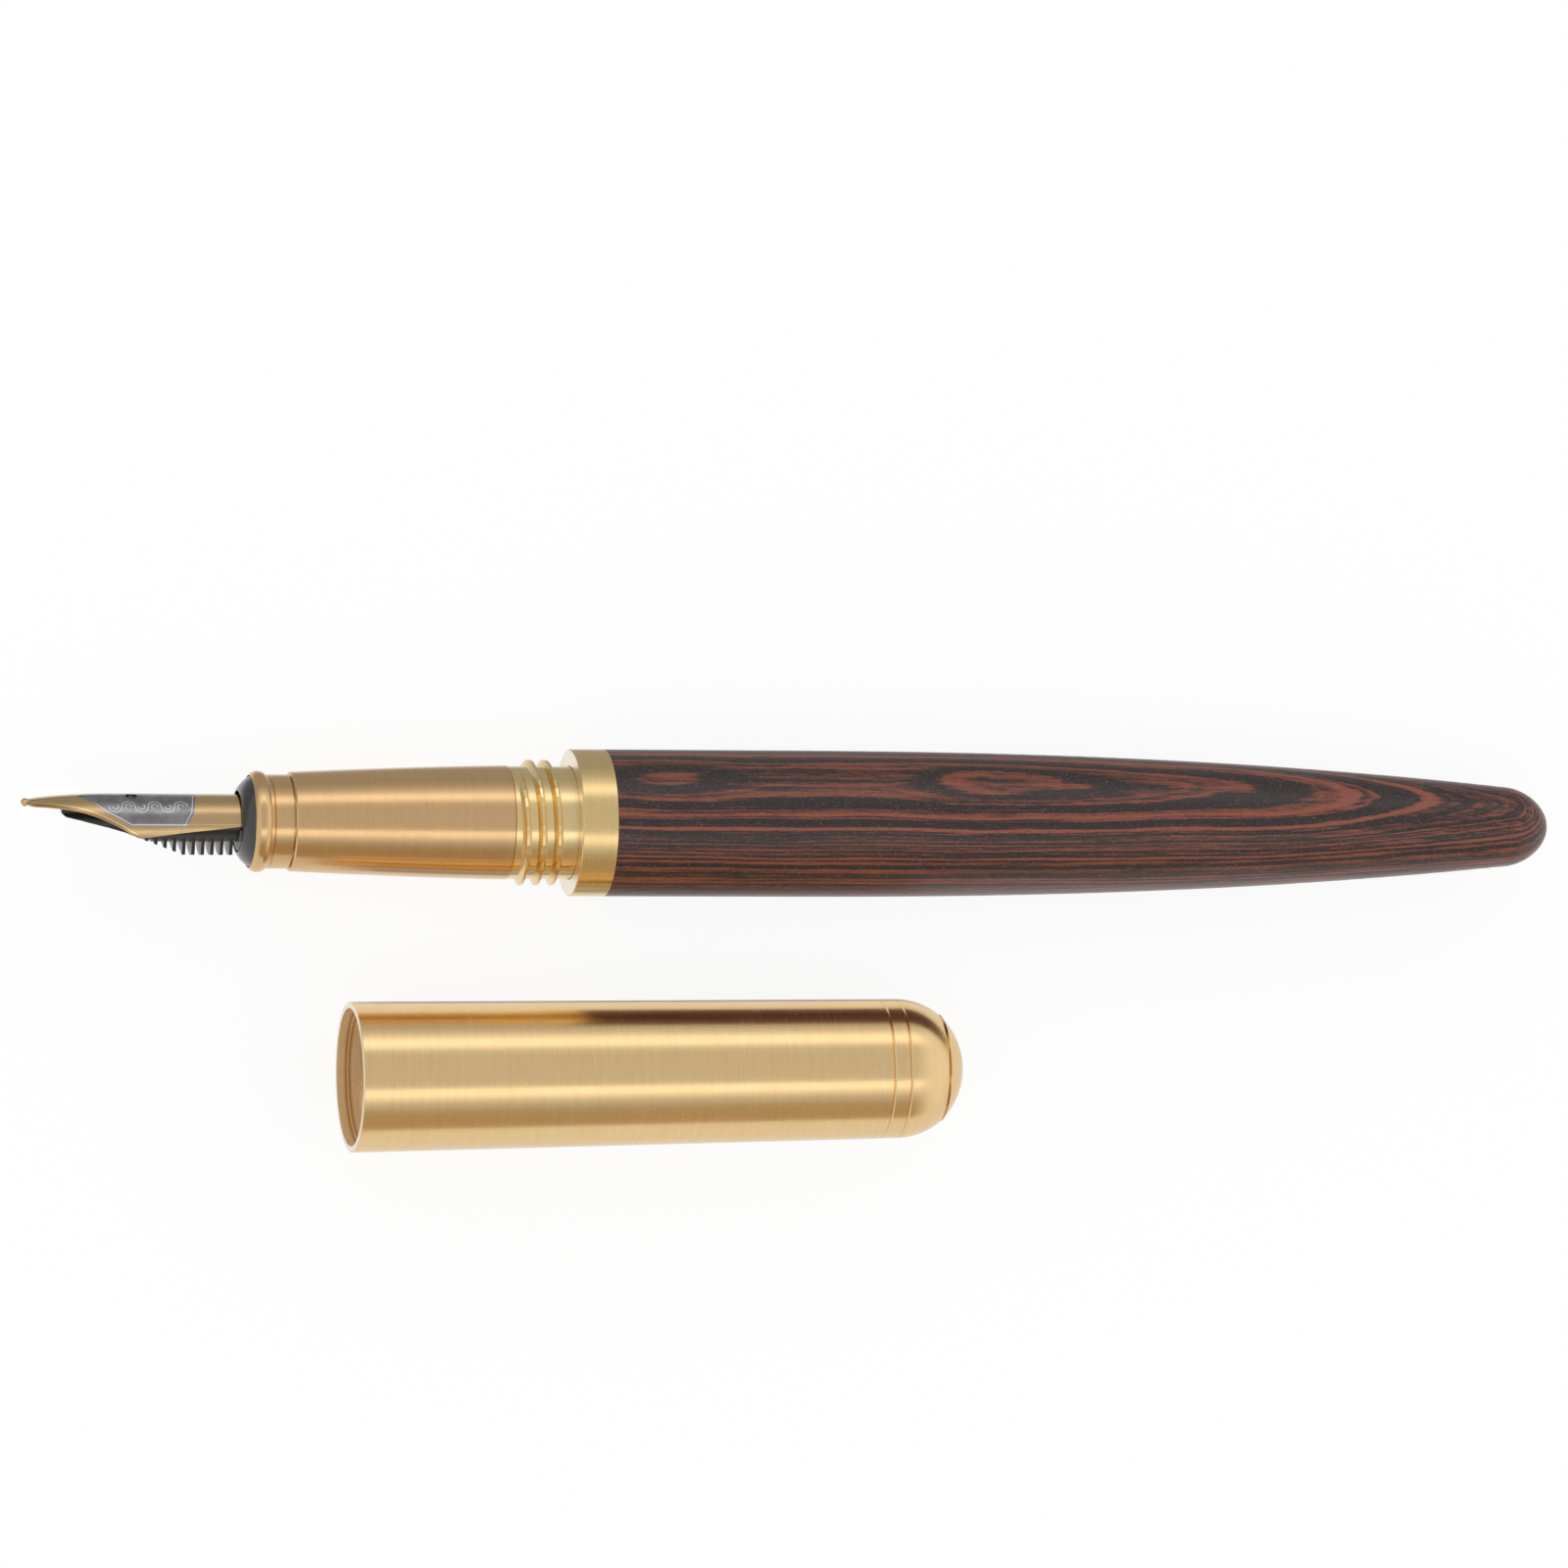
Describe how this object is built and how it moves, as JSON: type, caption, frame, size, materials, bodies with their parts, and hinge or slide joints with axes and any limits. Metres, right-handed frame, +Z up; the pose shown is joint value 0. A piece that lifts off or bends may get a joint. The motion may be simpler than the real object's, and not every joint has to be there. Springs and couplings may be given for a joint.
{
  "type": "fountain pen",
  "caption": "Fountain pen with a tapering wooden barrel, brass grip section, two-tone nib and piston converter, lying beside its brass screw cap.",
  "frame": {"origin": "centre of the box round the pen and its cap, on the ground they lie on", "axes": "+X along the pen from the nib to the tail; +Y from the cap towards the pen; +Z up"},
  "size_m": [0.133, 0.034, 0.0126],
  "materials": {
    "barrel_wood": "dark oiled hardwood with red-brown streaks",
    "turned_brass": "turned, bright",
    "satin_brass": "fine circular brushing",
    "cap_brass": "fine circular brushing",
    "black_plastic": "moulded, glossy",
    "feed_plastic": "moulded, satin",
    "grey_plastic": "moulded",
    "clear_plastic": "clear, moulded",
    "nib_gilt": "steel, gilt, with a bright grey mask at the point",
    "tipping_alloy": "ground",
    "seal_rubber": "matte",
    "screw_steel": "drawn"
  },
  "bodies": {
    "barrel": {"barrel_wood": "barrel_wood", "barrel_liner": "turned_brass", "barrel_insert": "turned_brass", "center_ring": "turned_brass"},
    "seal": {"o_ring": "seal_rubber"},
    "section": {"section_core": "turned_brass", "grip_sleeve": "satin_brass", "nose_ring": "satin_brass", "nib_housing": "black_plastic"},
    "nib_unit": {"nib": "nib_gilt", "nib_tipping": "tipping_alloy", "feed": "feed_plastic"},
    "converter": {"converter_tube": "clear_plastic", "converter_band": "turned_brass", "converter_guide": "black_plastic"},
    "piston": {"piston_stem": "grey_plastic", "piston_seal": "seal_rubber"},
    "knob": {"converter_knob": "black_plastic", "lead_screw": "screw_steel"},
    "cap": {"cap_tube": "cap_brass", "cap_thread_bush": "cap_brass", "inner_cap": "black_plastic", "cap_finial": "cap_brass"}
  },
  "joints": [
    {"name": "section_slide", "type": "slide", "parent": "barrel", "child": "seal", "axis": [-1, 0, 0], "range_m": [0, 0.0064]},
    {"name": "section_turn", "type": "hinge", "parent": "seal", "child": "section", "pos_m": [0, 0.01078, 0.0062], "axis": [1, 0, 0], "range_deg": [-2880, 0]},
    {"name": "nib_pull", "type": "slide", "parent": "section", "child": "nib_unit", "axis": [-1, 0, 0], "range_m": [0, 0.012]},
    {"name": "converter_pull", "type": "slide", "parent": "section", "child": "converter", "axis": [1, 0, 0], "range_m": [0, 0.008]},
    {"name": "knob_turn", "type": "hinge", "parent": "converter", "child": "knob", "pos_m": [0, 0.01078, 0.0062], "axis": [1, 0, 0], "range_deg": [0, 1980]},
    {"name": "piston_travel", "type": "slide", "parent": "converter", "child": "piston", "axis": [1, 0, 0], "range_m": [0, 0.022]},
    {"name": "cap_lift", "type": "slide", "parent": "barrel", "child": "cap", "axis": [0, 0, 1], "range_m": [0, 0.06]}
  ],
  "couplings": [
    {"joint": "section_turn", "follows": "section_slide", "rad_per_m": -7854},
    {"joint": "knob_turn", "follows": "piston_travel", "rad_per_m": 1570.8}
  ]
}
